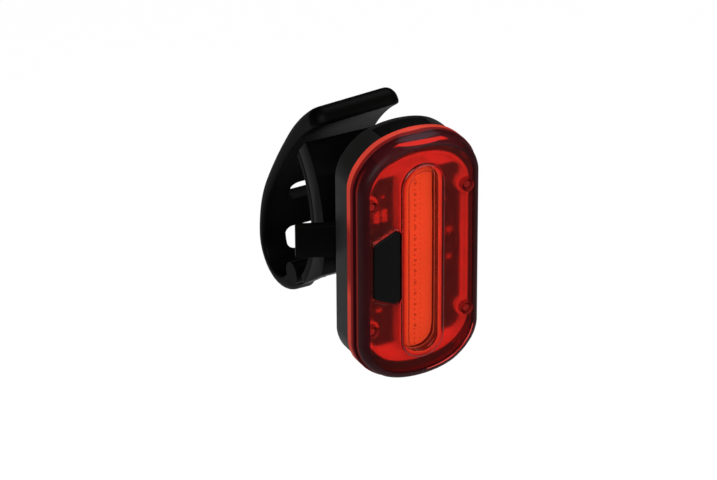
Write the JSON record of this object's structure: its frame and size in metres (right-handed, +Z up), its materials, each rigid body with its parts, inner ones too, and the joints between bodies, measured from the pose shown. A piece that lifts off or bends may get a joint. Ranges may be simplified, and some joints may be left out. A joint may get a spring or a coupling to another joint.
{
  "type": "bicycle tail light",
  "caption": "Rechargeable bicycle tail light: red lens with a raised lamp window, side power button, covered charging socket and a quick-release saddle mount with a rubber ladder strap.",
  "frame": {"origin": "centre of the box round the whole light and its mount at rest", "axes": "-Y the way the lamp shines, +Z up along the lens, +X to the right as seen from in front of the lens"},
  "size_m": [0.0422, 0.0712, 0.071],
  "materials": {
    "shell": "satin",
    "seal": "matte",
    "lens": "gloss",
    "steel": "satin",
    "tray": "satin",
    "board": "satin",
    "phosphor": "satin",
    "chip": "satin",
    "button": "matte",
    "plunger": "satin",
    "part": "satin",
    "indicator": "satin",
    "main_board": "satin",
    "socket": "polished",
    "black_plastic": "satin",
    "cell": "satin",
    "tape": "matte",
    "plug": "satin",
    "lead_black": "satin",
    "lead_red": "satin",
    "rubber_black": "matte"
  },
  "bodies": {
    "light_and_saddle": {"rear_shell": "shell", "housing_seal": "seal", "front_lens": "lens", "housing_screw_1": "steel", "housing_screw_2": "steel", "housing_screw_3": "steel", "housing_screw_4": "steel", "reflector_tray": "tray", "led_board": "board", "phosphor_strip": "phosphor", "led_chips": "chip", "switch_body": "steel", "resistor_1": "part", "resistor_2": "part", "resistor_3": "part", "resistor_4": "part", "resistor_5": "part", "resistor_6": "part", "charge_indicator": "indicator", "driver_chip": "black_plastic", "main_board": "main_board", "board_connector": "black_plastic", "charging_socket": "socket", "socket_tongue": "black_plastic", "battery_cell": "cell", "battery_tape": "tape", "battery_plug": "plug", "battery_lead_black": "lead_black", "battery_lead_red": "lead_red", "mount_rail": "black_plastic", "rail_screw_1": "steel", "rail_screw_2": "steel", "saddle_base": "black_plastic", "saddle_liner": "rubber_black", "lever_pin": "steel", "strap_pin": "steel"},
    "button": {"power_button": "button", "switch_plunger": "plunger"},
    "socket_cover": {"charging_cover": "rubber_black"},
    "lever": {"release_lever": "black_plastic"},
    "strap": {"ladder_strap": "rubber_black"}
  },
  "joints": [
    {"name": "power_button_press", "type": "slide", "parent": "light_and_saddle", "child": "button", "axis": [0, 1, 0], "range_m": [0, 0.0004], "stiffness_N_per_m": 3000},
    {"name": "socket_cover_flip", "type": "hinge", "parent": "light_and_saddle", "child": "socket_cover", "pos_m": [0.0105, -0.02432, 0.0335], "axis": [0, 1, 0], "range_deg": [0, 100]},
    {"name": "release_lever_press", "type": "hinge", "parent": "light_and_saddle", "child": "lever", "pos_m": [-0.00816, -0.01492, 0], "axis": [0, 0, 1], "range_deg": [0, 14], "stiffness_Nm_per_rad": 0.3},
    {"name": "ladder_strap_open", "type": "hinge", "parent": "light_and_saddle", "child": "strap", "pos_m": [0.00304, 0.01448, -0.0235], "axis": [1, 0, 0], "range_deg": [-90, 0]}
  ]
}
